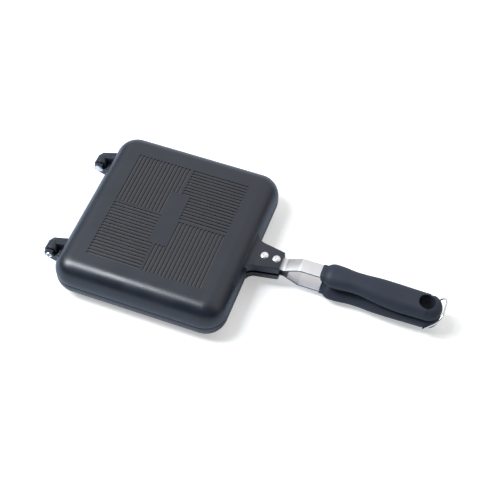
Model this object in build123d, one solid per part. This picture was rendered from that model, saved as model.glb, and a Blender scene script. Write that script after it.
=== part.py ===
from build123d import *
import math
import os

# Sandwich toaster: two hinged cast pans with long grips and a wire bail that latches them.
# Millimetres. The origin is the middle of the lower pan's base: +X runs from the hinges to the
# grips, +Y across, +Z up. Every upper piece is drawn above the parting plane and every lower
# piece is its mirror image, so the heights below are measured from the parting plane.

# --- driving dimensions ---------------------------------------------------------------------
PARTING_GAP = 0.3          # air between the two closed halves
OVERCUT = 1.0              # how far a cutter reaches past the material

PAN_HALF_X = 76.5          # rim outline, half length
PAN_HALF_Y = 81.5          # rim outline, half width
PAN_CORNER = 19.0          # rim corner radius, seen from above
PAN_RIM = 3.0              # straight part of the side, next to the parting plane
PAN_EDGE = 16.2            # rounding from the side to the flat outer face
PAN_WALL = 3.0             # casting thickness
RIM_SOFTENING = 0.6        # rounding of the rim's outer edge

GROOVE_PITCH_X = 3.344     # between bars that run along Y
GROOVE_PITCH_Y = 3.28      # between bars that run along X
GROOVE_WIDTH = 1.75
GROOVE_DEPTH = 0.9
GROOVE_MARGIN_X = 26.4     # from the rim to the middle of the outermost bars
GROOVE_MARGIN_Y = 25.9
GROOVE_OVERRUN = 1.2       # bar ends reach past the outermost bars
GROOVE_SHORT_STOP = 0.2    # where a quarter's bars stop beside the middle line
GROOVE_LONG_STOP = 3.3     # the same where the neighbour's bars lie on the middle line
PLAQUE_HALF_X = 7.9        # bare rectangle in the middle of the grooved field
PLAQUE_HALF_Y = 27.9

LUG_LENGTH = 25.5
LUG_TOP = 8.3
LUG_FOOT = 1.6             # underside, which leaves a wide slit between the two lugs
LUG_HALF_WIDTH = 9.6       # at its end on the parting plane; the sides lean inwards
LUG_LEAN = 0.6             # how much narrower each side is at the top
LUG_TAPER = 0.175          # widening of each side towards the pan, per length
LUG_ROOT = 11.0            # rounding into the pan, seen from above
LUG_BLEND = 10.0           # hollow between the lug's top and the pan's rounded edge
LUG_ROOF = 4.1             # thickness of the lug over the strap
LUG_EDGE = 0.8

STRAP_WIDTH = 13.0
STRAP_THICKNESS = 1.5
STRAP_RISE = 7.1
STRAP_END_GAP = 3.0        # from the rim to the strap's end inside the lug
STRAP_FREE = 3.9           # level strap outside the lug
STRAP_SLOPE = 13.1         # length of the slope along X
STRAP_FRONT = 18.0         # level strap in front of the grip
STRAP_IN_GRIP = 53.0
STRAP_BEND = 4.0           # inner bend radius
STRAP_SIDE_ROOM = 0.2      # each side of the strap inside the lug

RIVET_FIRST = 10.0         # from the rim
RIVET_SPACING = 10.6
RIVET_SHANK = 2.0          # radius
RIVET_HEAD = 3.6           # radius
RIVET_HEAD_HEIGHT = 1.3
RIVET_TAIL = 3.2           # radius
RIVET_TAIL_HEIGHT = 1.0

GRIP_LENGTH = 104.0        # with its collar
GRIP_TOP = 13.9
GRIP_ROUND = 8.2           # top edges
GRIP_UNDER_ROUND = 5.3     # edges beside the parting face
GRIP_CORNER = 8.6          # front corners, seen from above
COLLAR_LENGTH = 4.2
COLLAR_HALF = 8.7
COLLAR_TOP = 13.4
COLLAR_ROUND = 5.5
BULGE_HALF = 13.0          # swelling behind the collar
WAIST_FROM_BULGE = 18.7
WAIST_HALF = 11.7          # hollow for the forefinger
PALM_FROM_WAIST = 21.5
PALM_HALF = 12.6           # widest part under the palm
TAIL_HALF = 12.0           # radius of the round tail

HOLE_FROM_END = 13.6       # hanging hole's middle
HOLE_RADIUS = 7.0

WIRE = 0.75                # radius
BAIL_FROM_END = 11.0       # bail pivot, in the lower grip
BAIL_DROP = 9.0            # pivot height under the parting plane
BAIL_LEG_OUT = 0.85        # leg's middle outside the tail's side
BAIL_BAR_OVER = 1.4        # bar's middle over the grip's top
BAIL_SHOULDER_OVER = 1.1   # shoulder radius over the grip's own rounding
BAIL_PIVOT_BEND = 1.6
BAIL_PIVOT_REACH = 5.2     # from a leg's middle to the wire's end inside the lower grip
BAIL_PIVOT_ROOM = 0.05     # radial
BAIL_PIVOT_END_ROOM = 0.2
BAIL_REST_ANGLE = 31.0     # degrees the open bail leans back from the latched position
SEAT_WIDTH = 2.6           # wire seat across the tails
SEAT_DEPTH = 0.6

HINGE_OUT = 10.7           # hinge axis, from the rim, on the parting plane
HINGE_INSET = 30.9         # middle of each hinge, from the pan's side
HINGE_SPAN = 15.6          # whole width of one hinge
WEB_WIDTH = 7.1            # upper pan's arm, on the +Y side of each hinge
NEAR_ARM_WIDTH = 3.4       # lower pan's arm, on the -Y side
HINGE_ROOM = 0.3           # between the upper pan's knuckle and the lower pan
ARM_END = 4.65             # end radius of both arms
ARM_ROOT = 9.7             # arm height where it meets the pan
KNUCKLE = 6.0              # radius of the knuckle beside the arm
KNUCKLE_SHORT = 3.2        # the knuckle stops this far inside the web's outer side
PIN_RADIUS = 2.2
PIN_ROOM = 0.05            # radial
PIN_END_ROOM = 0.05        # between the rivet's ends and the arms
PIN_HEAD = 3.8             # radius
PIN_HEAD_HEIGHT = 1.3
PIN_ROLL = 3.0             # radius of the tubular rivet's rolled end
PIN_ROLL_HEIGHT = 0.8
PIN_BORE = 1.3             # radius
PIN_BORE_DEPTH = 3.0


def hollow_between(level, radius):
    """Ends of the hollow that joins a level top to the pan's rounded edge.

    Gives its X on the level top and the point where it touches the pan's edge."""
    middle_x, rise = PAN_HALF_X - PAN_EDGE, level + radius - PAN_RIM
    run = math.sqrt((PAN_EDGE + radius) ** 2 - rise ** 2)
    share = PAN_EDGE / (PAN_EDGE + radius)
    return middle_x + run, (middle_x + share * run, PAN_RIM + share * rise)


# --- derived --------------------------------------------------------------------------------
HALF_GAP = PARTING_GAP / 2
PAN_HEIGHT = PAN_RIM + PAN_EDGE
PARTING_Z = PAN_HEIGHT
WIDE = PAN_HALF_X + PAN_HALF_Y                 # more than the part's width
LUG_END = PAN_HALF_X + LUG_LENGTH
RIVET_X = (PAN_HALF_X + RIVET_FIRST, PAN_HALF_X + RIVET_FIRST + RIVET_SPACING)
BLEND_START, BLEND_TOUCH = hollow_between(LUG_TOP, LUG_BLEND)
STRAP_START = PAN_HALF_X + STRAP_END_GAP
STRAP_LOW = LUG_TOP - LUG_ROOF                 # outer face of the strap inside the lug
STRAP_HIGH = STRAP_LOW + STRAP_RISE            # outer face of the strap in front of the grip
BEND_LOW = LUG_END + STRAP_FREE
BEND_HIGH = BEND_LOW + STRAP_SLOPE
GRIP_FRONT = BEND_HIGH + STRAP_FRONT
STRAP_END = GRIP_FRONT + STRAP_IN_GRIP
GRIP_BODY_FRONT = GRIP_FRONT + COLLAR_LENGTH
GRIP_REAR = GRIP_FRONT + GRIP_LENGTH
BULGE_X = GRIP_BODY_FRONT + GRIP_CORNER
WAIST_X = BULGE_X + WAIST_FROM_BULGE
PALM_X = WAIST_X + PALM_FROM_WAIST
TAIL_X = GRIP_REAR - TAIL_HALF
HOLE_X = GRIP_REAR - HOLE_FROM_END
BAIL_X = GRIP_REAR - BAIL_FROM_END
BAIL_LEG_Y = TAIL_HALF + BAIL_LEG_OUT
BAIL_BAR_HEIGHT = GRIP_TOP + BAIL_BAR_OVER
BAIL_END_Y = BAIL_LEG_Y - BAIL_PIVOT_REACH
HINGE_X = -(PAN_HALF_X + HINGE_OUT)
HINGE_Y = (HINGE_INSET - PAN_HALF_Y, PAN_HALF_Y - HINGE_INSET)


def raised(shape):
    """The piece of the upper half, lifted from its own heights to the shared frame."""
    return Pos(0, 0, PARTING_Z) * shape


def turned_over(shape):
    """The same piece of the lower half."""
    return Pos(0, 0, PARTING_Z) * mirror(shape, about=Plane.XY)


def block(x_span, y_span, z_span):
    """A box from its three spans."""
    spans = (x_span, y_span, z_span)
    return Pos(*[(low + high) / 2 for low, high in spans]) * Box(*[high - low for low, high in spans])


def cylinder_y(radius, y_span, x, z):
    """A round bar along Y."""
    near, far = y_span
    return Pos(x, (near + far) / 2, z) * Rot(90, 0, 0) * Cylinder(radius, far - near)


def edges_at_height(shape, height, beyond_x=-WIDE):
    """Every edge in one level plane that reaches past a given X."""
    chosen = []
    for edge in shape.edges():
        box = edge.bounding_box()
        level = math.isclose(box.min.Z, height, abs_tol=1e-4) and math.isclose(box.max.Z, height, abs_tol=1e-4)
        if level and box.max.X > beyond_x:
            chosen.append(edge)
    return chosen


def cap_arc(radius, height, base):
    """Profile of a domed head, from its crown on the axis down to its rim."""
    ball = (radius ** 2 + height ** 2) / (2 * height)
    half_angle = math.asin(radius / ball) / 2
    middle = (ball * math.sin(half_angle), base + height - ball * (1 - math.cos(half_angle)))
    return ThreePointArc((0, base + height), middle, (radius, base))


# --- pans -----------------------------------------------------------------------------------
def dish(inset, edge_softening=0.0):
    """A pan form, offset inwards by the inset, open side down on the parting plane."""
    outline = RectangleRounded(2 * (PAN_HALF_X - inset), 2 * (PAN_HALF_Y - inset), PAN_CORNER - inset)
    top = PAN_HEIGHT - inset
    body = Pos(0, 0, HALF_GAP) * extrude(outline, top - HALF_GAP)
    body = fillet(edges_at_height(body, top), PAN_EDGE - inset)
    if edge_softening > 0:
        body = fillet(edges_at_height(body, HALF_GAP), edge_softening)
    return body


def groove_cutters():
    """Basket-weave grooves: quarters of parallel bars, along Y and along X in turn."""
    edge_x, edge_y = PAN_HALF_X - GROOVE_MARGIN_X, PAN_HALF_Y - GROOVE_MARGIN_Y
    bars = []
    for side_x, side_y, along_x in ((-1, 1, False), (1, 1, True), (-1, -1, True), (1, -1, False)):
        if along_x:
            edge, pitch, reach = edge_y, GROOVE_PITCH_Y, edge_x + GROOVE_OVERRUN
            plaque_across, plaque_along = PLAQUE_HALF_Y, PLAQUE_HALF_X
        else:
            edge, pitch, reach = edge_x, GROOVE_PITCH_X, edge_y + GROOVE_OVERRUN
            plaque_across, plaque_along = PLAQUE_HALF_X, PLAQUE_HALF_Y
        stop = GROOVE_SHORT_STOP if side_x > 0 else GROOVE_LONG_STOP
        count = round(edge / pitch) + (1 if side_y < 0 else 0)
        for number in range(count):
            across = edge - number * pitch
            start = plaque_along if across < plaque_across else stop
            length, middle = reach - start, (reach + start) / 2
            if along_x:
                bars.append(Pos(side_x * middle, side_y * across) * Box(length, GROOVE_WIDTH, 2 * GROOVE_DEPTH))
            else:
                bars.append(Pos(side_x * across, side_y * middle) * Box(GROOVE_WIDTH, length, 2 * GROOVE_DEPTH))
    return [Pos(0, 0, PAN_HEIGHT) * bar for bar in bars]


def lug_plan(inset):
    """Outline of the handle lug with its sides and end moved inwards by the inset."""
    inside, root_x = BLEND_TOUCH[0] - PAN_WALL, BLEND_TOUCH[0]
    side, end = LUG_HALF_WIDTH - inset, LUG_END + LUG_LEAN - inset
    lean = math.atan(LUG_TAPER)
    turn_x = root_x + LUG_ROOT
    turn_y = side + LUG_TAPER * (end - turn_x) + LUG_ROOT / math.cos(lean)
    touch = (turn_x - LUG_ROOT * math.sin(lean), turn_y - LUG_ROOT * math.cos(lean))
    with BuildSketch() as plan:
        with BuildLine():
            RadiusArc((root_x, turn_y), touch, -LUG_ROOT)
            Polyline(touch, (end, side), (end, 0), (inside, 0), (inside, turn_y), (root_x, turn_y))
        make_face()
        mirror(about=Plane.XZ)
    return plan.sketch


def lug_side():
    """Side view of the lug: level top, hollowing up into the pan's rounded edge."""
    inside, beyond = BLEND_TOUCH[0] - PAN_WALL, LUG_END + 2 * LUG_LEAN
    with BuildSketch(Plane.XZ) as side:
        with BuildLine():
            RadiusArc(BLEND_TOUCH, (BLEND_START, LUG_TOP), -LUG_BLEND)
            Polyline((BLEND_START, LUG_TOP), (beyond, LUG_TOP), (beyond, LUG_FOOT), (inside, LUG_FOOT),
                     (inside, BLEND_TOUCH[1]), BLEND_TOUCH)
        make_face()
    return extrude(side.sketch, WIDE, both=True)


def lug():
    """Handle lug: tapering and leaning sides, a hollow root and softened top edges."""
    full = loft([lug_plan(0), Pos(0, 0, PAN_HEIGHT) * lug_plan(LUG_LEAN * PAN_HEIGHT / LUG_TOP)])
    body = full & lug_side()
    top_edges = []
    for edge in body.edges():
        box = edge.bounding_box()
        across = box.max.X - box.min.X < LUG_EDGE / 2 and box.max.X < LUG_END - LUG_EDGE
        if box.min.Z > LUG_TOP - HALF_GAP and box.max.X > BLEND_TOUCH[0] + HALF_GAP and not across:
            top_edges.append(edge)
    return fillet(top_edges, LUG_EDGE)


def strap_channel():
    """The space for the strap inside the lug, open at the end and below."""
    half = STRAP_WIDTH / 2 + STRAP_SIDE_ROOM
    return block((STRAP_START, LUG_END + LUG_LEAN + OVERCUT), (-half, half), (0, STRAP_LOW))


def pan():
    """One cast pan without its hinge arms."""
    body = dish(0, RIM_SOFTENING) + lug()
    body -= dish(PAN_WALL)
    body -= strap_channel()
    for x in RIVET_X:
        body -= Pos(x, 0, LUG_TOP) * Cylinder(RIVET_SHANK, LUG_TOP)
    return body - groove_cutters()


# --- hinges ---------------------------------------------------------------------------------
def hinge_spans(middle):
    """Y spans of the upper pan's web, its knuckle and the lower pan's arm in one hinge."""
    near, far = middle - HINGE_SPAN / 2, middle + HINGE_SPAN / 2
    return {"web": (far - WEB_WIDTH, far),
            "knuckle": (near + NEAR_ARM_WIDTH + HINGE_ROOM, far - KNUCKLE_SHORT),
            "arm": (near, near + NEAR_ARM_WIDTH),
            "cradle": (near + NEAR_ARM_WIDTH, far),
            "all": (near, far)}


def arm(y_span):
    """One hinge arm: round at the hinge axis, deepening towards the pan on its upper side."""
    near, far = y_span
    root_x = -(PAN_HALF_X - PAN_WALL / 2)
    lean = math.atan2(ARM_ROOT - ARM_END, root_x - HINGE_X)
    touch = (HINGE_X - ARM_END * math.sin(lean), ARM_END * math.cos(lean))
    with BuildSketch(Plane.XZ) as side:
        with BuildLine():
            Polyline(touch, (root_x, ARM_ROOT), (root_x, HALF_GAP), (HINGE_X, HALF_GAP), (HINGE_X, 0), touch)
        make_face()
        with Locations((HINGE_X, 0)):
            Circle(ARM_END)
    return Pos(0, far, 0) * extrude(side.sketch, far - near)


def drilled_for_pin(body, spans, radius):
    """The hinge drilled right through for its pin."""
    near, far = spans["all"]
    return body - cylinder_y(radius, (near - OVERCUT, far + OVERCUT), HINGE_X, 0)


def upper_pan():
    """Upper pan with a web and a knuckle at each hinge."""
    body = pan()
    for middle in HINGE_Y:
        spans = hinge_spans(middle)
        body += arm(spans["web"])
        body += cylinder_y(KNUCKLE, spans["knuckle"], HINGE_X, 0)
        body = drilled_for_pin(body, spans, PIN_RADIUS + PIN_ROOM)
    return raised(body)


def cradle(y_span):
    """Ledge of the lower pan under the web, hollowed round the knuckle."""
    near, far = y_span
    return arm(y_span) - cylinder_y(KNUCKLE + HINGE_ROOM, (near - OVERCUT, far + OVERCUT), HINGE_X, 0)


def lower_pan():
    """Lower pan with one arm and a cradle at each hinge."""
    body = pan()
    for middle in HINGE_Y:
        spans = hinge_spans(middle)
        body += arm(spans["arm"]) + cradle(spans["cradle"])
        body = drilled_for_pin(body, spans, PIN_RADIUS)
    return turned_over(body)


def hinge_rivet(middle, head_side):
    """Tubular rivet: a domed head at one end, a rolled ring round an open bore at the other."""
    near, far = hinge_spans(middle)["all"]
    near -= PIN_END_ROOM
    far += PIN_END_ROOM
    tail = near - far
    with BuildSketch(Plane.XZ) as half:
        with BuildLine():
            dome = cap_arc(PIN_HEAD, PIN_HEAD_HEIGHT, 0)
            Polyline(dome @ 1, (PIN_RADIUS, 0), (PIN_RADIUS, tail), (PIN_ROLL, tail),
                     (PIN_ROLL, tail - PIN_ROLL_HEIGHT), (PIN_BORE, tail - PIN_ROLL_HEIGHT),
                     (PIN_BORE, tail + PIN_BORE_DEPTH), (0, tail + PIN_BORE_DEPTH), dome @ 0)
        make_face()
    upright = revolve(half.sketch, Axis.Z)
    if head_side > 0:
        return raised(Pos(HINGE_X, far, 0) * Rot(-90, 0, 0) * upright)
    return raised(Pos(HINGE_X, near, 0) * Rot(90, 0, 0) * upright)


# --- straps and rivets ----------------------------------------------------------------------
def strap():
    """Bent strip: level in the lug, rising to the grip, level again inside it."""
    thick = STRAP_THICKNESS
    shift = thick * math.tan(math.atan2(STRAP_RISE, STRAP_SLOPE) / 2)
    outer = ((STRAP_START, STRAP_LOW), (BEND_LOW, STRAP_LOW), (BEND_HIGH, STRAP_HIGH), (STRAP_END, STRAP_HIGH))
    inner = ((STRAP_END, STRAP_HIGH - thick), (BEND_HIGH + shift, STRAP_HIGH - thick),
             (BEND_LOW + shift, STRAP_LOW - thick), (STRAP_START, STRAP_LOW - thick))
    tight, wide = (outer[1], inner[1]), (outer[2], inner[2])
    with BuildSketch(Plane.XZ) as side:
        with BuildLine():
            Polyline(*outer, *inner, close=True)
        make_face()
        for corners, radius in ((tight, STRAP_BEND), (wide, STRAP_BEND + thick)):
            for x, z in corners:
                fillet(vertices().sort_by_distance((x, z, 0))[0], radius)
    body = Pos(0, STRAP_WIDTH / 2, 0) * extrude(side.sketch, STRAP_WIDTH)
    for x in RIVET_X:
        body -= Pos(x, 0, STRAP_LOW) * Cylinder(RIVET_SHANK, 4 * thick)
    return body


def lug_rivets():
    """Two rivets: domed head on the lug, flat tail under the strap."""
    tail_top = STRAP_LOW - STRAP_THICKNESS
    with BuildSketch(Plane.XZ) as half:
        with BuildLine():
            dome = cap_arc(RIVET_HEAD, RIVET_HEAD_HEIGHT, LUG_TOP)
            Polyline(dome @ 1, (RIVET_SHANK, LUG_TOP), (RIVET_SHANK, tail_top), (RIVET_TAIL, tail_top),
                     (RIVET_TAIL, tail_top - RIVET_TAIL_HEIGHT), (0, tail_top - RIVET_TAIL_HEIGHT), dome @ 0)
        make_face()
    one = revolve(half.sketch, Axis.Z)
    return Compound(children=[Pos(x, 0, 0) * one for x in RIVET_X])


# --- grips ----------------------------------------------------------------------------------
def grip_plan():
    """Outline of a grip behind its collar: round front, swelling, waist, palm and round tail."""
    shoulder = (BULGE_X, BULGE_HALF)
    stations = (shoulder, (WAIST_X, WAIST_HALF), (PALM_X, PALM_HALF), (TAIL_X, TAIL_HALF))
    nose = (GRIP_BODY_FRONT, BULGE_HALF - GRIP_CORNER)
    with BuildSketch() as plan:
        with BuildLine():
            RadiusArc(nose, shoulder, GRIP_CORNER)
            for begin, end in zip(stations, stations[1:]):
                middle = tuple((a + b) / 2 for a, b in zip(begin, end))
                half = TangentArc(begin, middle, tangent=(1, 0))
                TangentArc(half @ 1, end, tangent=half % 1)
            TangentArc(stations[-1], (GRIP_REAR, 0), tangent=(1, 0))
            Polyline(nose, (GRIP_BODY_FRONT, 0), (GRIP_REAR, 0))
        make_face()
        mirror(about=Plane.XZ)
    return plan.sketch


def grip_body():
    """The rounded grip without its collar."""
    body = Pos(0, 0, HALF_GAP) * extrude(grip_plan(), GRIP_TOP - HALF_GAP)
    for height, radius in ((GRIP_TOP, GRIP_ROUND), (HALF_GAP, GRIP_UNDER_ROUND)):
        body = fillet(edges_at_height(body, height), radius)
    return body


def arch_section(half_width, top, corner):
    """Upright section of a D: square below, rounded above."""
    with BuildSketch(Plane.YZ) as section:
        with Locations((0, top / 2)):
            Rectangle(2 * half_width, top)
        fillet([v for v in vertices() if v.Y > top / 2], corner)
    return section.sketch


def wire_seat():
    """Cutter for the seat of the latched wire round a tail."""
    half, top, corner = TAIL_HALF - SEAT_DEPTH, GRIP_TOP - SEAT_DEPTH, GRIP_ROUND - SEAT_DEPTH
    slab = block((-SEAT_WIDTH / 2, SEAT_WIDTH / 2), (-WIDE, WIDE), (0, 2 * GRIP_TOP))
    core = extrude(arch_section(half, top, corner), SEAT_WIDTH, both=True)
    return Pos(BAIL_X, 0, 0) * (slab - core)


def grip():
    """One moulded grip: D-shaped, with a collar round the strap, a hanging hole and a wire seat."""
    collar = extrude(arch_section(COLLAR_HALF, COLLAR_TOP, COLLAR_ROUND), COLLAR_LENGTH + GRIP_CORNER)
    collar = Pos(GRIP_FRONT, 0, 0) * collar - block((0, GRIP_REAR), (-WIDE, WIDE), (-OVERCUT, HALF_GAP))
    body = grip_body() + collar
    body -= block((0, STRAP_END), (-STRAP_WIDTH / 2, STRAP_WIDTH / 2), (STRAP_HIGH - STRAP_THICKNESS, STRAP_HIGH))
    body -= Pos(HOLE_X, 0, 0) * Cylinder(HOLE_RADIUS, 4 * GRIP_TOP)
    return body - wire_seat()


def lower_handle():
    """Lower grip with the two blind bores that the ends of the wire turn in."""
    body = grip()
    inner = BAIL_END_Y - BAIL_PIVOT_END_ROOM
    for span in ((-BAIL_LEG_Y, -inner), (inner, BAIL_LEG_Y)):
        body -= cylinder_y(WIRE + BAIL_PIVOT_ROOM, span, BAIL_X, BAIL_DROP)
    return turned_over(body)


# --- latch ----------------------------------------------------------------------------------
def latch_bail():
    """Bent wire: two short ends in the lower grip, two legs and a bar, leaning back open."""
    bar_up, shoulder = BAIL_BAR_HEIGHT + BAIL_DROP, GRIP_ROUND + BAIL_SHOULDER_OVER
    with BuildSketch(Plane.YZ) as frame:
        with BuildLine():
            Polyline((-BAIL_LEG_Y, 0), (-BAIL_LEG_Y, bar_up), (BAIL_LEG_Y, bar_up), (BAIL_LEG_Y, 0), close=True)
        make_face()
        fillet([v for v in vertices() if v.Y > bar_up / 2], shoulder)
        fillet([v for v in vertices() if v.Y < bar_up / 2], BAIL_PIVOT_BEND)
    loop = frame.sketch.face().outer_wire()
    ring = sweep(Plane(loop @ 0, z_dir=loop % 0) * Circle(WIRE), path=loop)
    ring -= block((-OVERCUT, OVERCUT), (-BAIL_END_Y, BAIL_END_Y), (-OVERCUT, OVERCUT))
    leaning = Pos(BAIL_X, 0, -BAIL_DROP) * Rot(0, BAIL_REST_ANGLE, 0) * ring
    return raised(leaning)


PIECES = {
    "upper_pan": upper_pan,
    "lower_pan": lower_pan,
    "hinge_rivet_near": lambda: hinge_rivet(HINGE_Y[0], 1),
    "hinge_rivet_far": lambda: hinge_rivet(HINGE_Y[1], -1),
    "upper_strap": lambda: raised(strap()),
    "lower_strap": lambda: turned_over(strap()),
    "upper_lug_rivets": lambda: raised(lug_rivets()),
    "lower_lug_rivets": lambda: turned_over(lug_rivets()),
    "upper_handle": lambda: raised(grip()),
    "lower_handle": lower_handle,
    "latch_bail": latch_bail,
}

os.makedirs("parts", exist_ok=True)
for name, make in PIECES.items():
    export_step(make(), f"parts/{name}.step")
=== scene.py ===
import logging
import math
from dataclasses import dataclass
from enum import Enum
from functools import cached_property
from typing import Callable, ClassVar, Mapping, Sequence

import bmesh
import bpy
import numpy as np
from mathutils import Matrix, Vector

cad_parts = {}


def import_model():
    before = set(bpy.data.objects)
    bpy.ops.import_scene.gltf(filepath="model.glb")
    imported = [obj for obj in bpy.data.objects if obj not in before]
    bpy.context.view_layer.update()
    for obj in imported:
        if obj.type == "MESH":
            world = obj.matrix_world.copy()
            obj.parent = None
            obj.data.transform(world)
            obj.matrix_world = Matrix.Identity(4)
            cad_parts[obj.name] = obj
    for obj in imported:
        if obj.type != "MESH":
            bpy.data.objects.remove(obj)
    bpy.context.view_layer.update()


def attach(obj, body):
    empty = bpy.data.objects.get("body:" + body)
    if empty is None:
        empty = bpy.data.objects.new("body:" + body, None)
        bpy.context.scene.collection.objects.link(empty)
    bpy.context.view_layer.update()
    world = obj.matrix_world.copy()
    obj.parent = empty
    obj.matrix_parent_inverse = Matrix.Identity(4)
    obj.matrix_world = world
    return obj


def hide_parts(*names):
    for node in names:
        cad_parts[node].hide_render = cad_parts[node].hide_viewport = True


# Sandwich toaster: two hinged cast pans with long grips and a wire bail that latches them.
# Sizes are in millimetres and heights are measured from the parting plane between the halves,
# unless a comment says otherwise. Meshes are written in metres in the shared frame.

LOG = logging.getLogger("sandwich_toaster")

MM = 0.001
MERGE = 0.002              # points closer than this are one
PARTING_PLANE = 19.2       # height of the parting plane over the floor
HALF_GAP = 0.15            # from the parting plane to each half
PAN_HALF = (76.5, 81.5)    # half sizes of the rim
HINGE_X = -87.2            # hinge axis, on the parting plane
LUG_TOP = 8.3              # level top of the lug, which the rivets' heads sit on
STRAP_START = 79.5         # X of the strap's end inside the lug
BAIL_X = 230.0             # bail's pivot, and the seat of the latched wire
SLIVER = 0.01              # between two grid lines that make a step

Array = np.ndarray
Pair = tuple[float, float]
Triple = tuple[float, float, float]
Material = bpy.types.Material
Node = bpy.types.Node
Socket = bpy.types.NodeSocket
Sockets = Mapping[str, Socket]
Tree = bpy.types.NodeTree


# --- names ----------------------------------------------------------------------------------
class Half(Enum):
    """The two mirrored halves of the toaster."""

    UPPER = 1.0
    LOWER = -1.0

    @property
    def label(self) -> str:
        """The word that the names of this half's pieces start with."""
        return self.name.lower()

    @property
    def body(self) -> str:
        """The rigid body that this half's pieces ride on."""
        return "lid" if self is Half.UPPER else "base"

    def placed(self, points: Array) -> Array:
        """Lifts points to the shared frame, turned over for the lower half."""
        return points * (1.0, 1.0, self.value) + (0.0, 0.0, PARTING_PLANE)


class Hinge(Enum):
    """The two hinges, by the Y of their middles."""

    NEAR = -50.6
    FAR = 50.6


class Slot(Enum):
    """Material slots of the part's record."""

    CASTING = "coated_casting"
    RIVET = "steel"
    STRIP = "strip_steel"
    GRIP = "grip_plastic"
    WIRE = "wire"


# --- surfaces -------------------------------------------------------------------------------
@dataclass
class Sheet:
    """A surface worked out on a grid: points[i, j] is its value at two parameters.

    Attributes:
        points: Array of shape (rows, columns, 3) in millimetres.
        closed: True where the last column joins the first.
    """

    points: Array
    closed: bool = False

    def moved(self, place: Callable[[Array], Array]) -> "Sheet":
        """The same surface with its points carried elsewhere."""
        return Sheet(place(self.points), self.closed)

    def quads(self, first: int) -> Array:
        """Quads between neighbouring grid points.

        Args:
            first: Index of the sheet's first point in the joined mesh.

        Returns:
            Vertex numbers of shape (faces, 4).
        """
        rows, columns = self.points.shape[:2]
        i = np.arange(rows - 1)[:, None]
        j = np.arange(columns if self.closed else columns - 1)[None, :]
        j_next = (j + 1) % columns
        corners = (i * columns + j, i * columns + j_next, (i + 1) * columns + j_next, (i + 1) * columns + j)
        return first + np.stack(np.broadcast_arrays(*corners), axis=-1).reshape(-1, 4)


def mesh_of(name: str, forms: Sequence[Sequence[Sheet]], sharp: float) -> bpy.types.Mesh:
    """Joins sheets into one mesh of closed forms, with their seams and poles merged.

    Args:
        name: Name of the mesh.
        forms: The surfaces that bound each closed form.
        sharp: Angle in degrees past which an edge is shaded sharp.

    Returns:
        The mesh in metres, smooth shaded, with its faces outwards.
    """
    mesh, whole = bpy.data.meshes.new(name), bmesh.new()
    for sheets in forms:
        points = joined(*[sheet.points.reshape(-1, 3) for sheet in sheets]) * MM
        firsts = np.cumsum([0] + [sheet.points[..., 0].size for sheet in sheets[:-1]])
        quads = joined(*[sheet.quads(int(first)) for sheet, first in zip(sheets, firsts)])
        mesh.clear_geometry()
        mesh.from_pydata(points, [], quads.tolist())
        shell = bmesh.new()
        shell.from_mesh(mesh)
        bmesh.ops.remove_doubles(shell, verts=shell.verts, dist=MERGE * MM)
        bmesh.ops.dissolve_degenerate(shell, edges=shell.edges, dist=MERGE / 2 * MM)
        bmesh.ops.recalc_face_normals(shell, faces=shell.faces)
        if shell.calc_volume(signed=True) < 0:
            bmesh.ops.reverse_faces(shell, faces=shell.faces)
        shell.to_mesh(mesh)
        shell.free()
        whole.from_mesh(mesh)
    whole.to_mesh(mesh)
    whole.free()
    mesh.shade_smooth()
    mesh.set_sharp_from_angle(angle=math.radians(sharp))
    return mesh


def arc(start: float, end: float, steps: int) -> Array:
    """Evenly spaced angles in radians from two angles in degrees, both ends included."""
    return np.radians(np.linspace(start, end, steps + 1))


def joined(*parts: Array, axis: int = 0) -> Array:
    """Arrays laid end to end."""
    return np.concatenate(parts, axis=axis)


def pairs(first: Array, second: Array) -> Array:
    """Two rows of values as an array of shape (n, 2)."""
    return np.stack((first, second), axis=1)


def spots(x: Array, y: Array, z: Array) -> Array:
    """Coordinates that fit each other by broadcasting, as points of shape (..., 3)."""
    return np.stack(np.broadcast_arrays(x, y, z), axis=-1)


def unit(vectors: Array) -> Array:
    """Vectors scaled to a length of one."""
    return vectors / np.linalg.norm(vectors, axis=-1, keepdims=True)


def ring(x: float, radius: float, angles: Array) -> Array:
    """Points round a middle that lies at x on the first axis, of shape (n, 2)."""
    return pairs(x + radius * np.cos(angles), radius * np.sin(angles))


def rolled(radius: float, turn: Array) -> tuple[Array, Array]:
    """How far a rounding lies inside its corner: r (1 - cos a) one way and r (1 - sin a) the other."""
    return radius * (1 - np.cos(turn)), radius * (1 - np.sin(turn))


def capped(loop: Array) -> Sheet:
    """Closes a ring of points, shape (n, 3), with a fan round its middle."""
    return Sheet(np.stack((loop, np.broadcast_to(loop.mean(axis=0), loop.shape))), True)


def turned(profile: Array, steps: int) -> Array:
    """A profile turned round an axis: point (r, h) at angle a goes to (r cos a, r sin a, h).

    Args:
        profile: Radii and heights, of shape (rows, 2).
        steps: Number of points round the axis.

    Returns:
        Points of shape (rows, steps, 3).
    """
    angle, radius = arc(0, 360, steps)[:-1], profile[:, :1]
    return spots(radius * np.cos(angle), radius * np.sin(angle), profile[:, 1:])


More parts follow.
